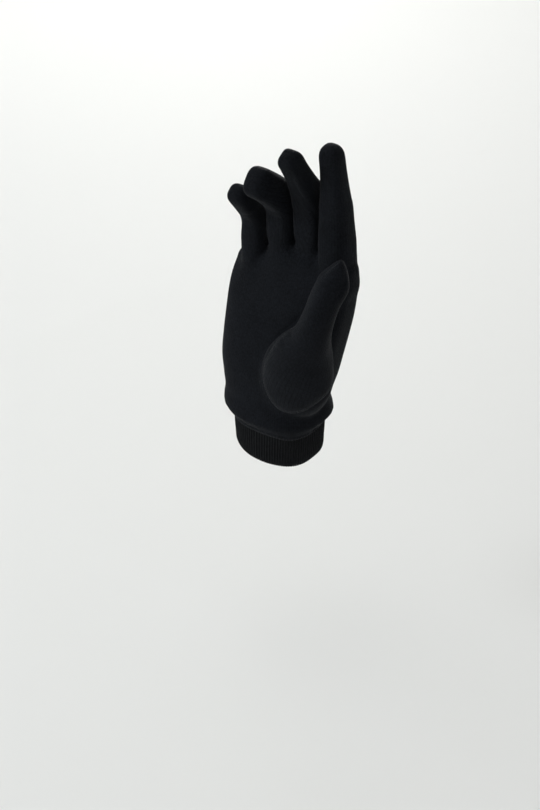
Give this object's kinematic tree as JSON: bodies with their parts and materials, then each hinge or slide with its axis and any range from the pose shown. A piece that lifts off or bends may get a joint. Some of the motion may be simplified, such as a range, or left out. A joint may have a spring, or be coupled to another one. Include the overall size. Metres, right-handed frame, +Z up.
{
  "type": "knitted glove liner",
  "caption": "Fine black knit glove liner for a right hand, hollow and open at its ribbed cuff, holding a relaxed hand's shape with curled fingers.",
  "frame": {"origin": "centre of the cuff's opening, where the wrist goes in", "axes": "+Z up the hand to the fingertips, +X to the thumb's side, and the palm faces -Y"},
  "size_m": [0.1033, 0.0629, 0.2172],
  "materials": {
    "fine_knit": "matt fine wool knit with a faint fuzz",
    "rib_knit": "matt rib knit"
  },
  "bodies": {
    "root": {"cuff": "rib_knit", "hand": "fine_knit", "thumb": "fine_knit", "index_finger": "fine_knit", "middle_finger": "fine_knit", "ring_finger": "fine_knit", "little_finger": "fine_knit"}
  },
  "joints": []
}
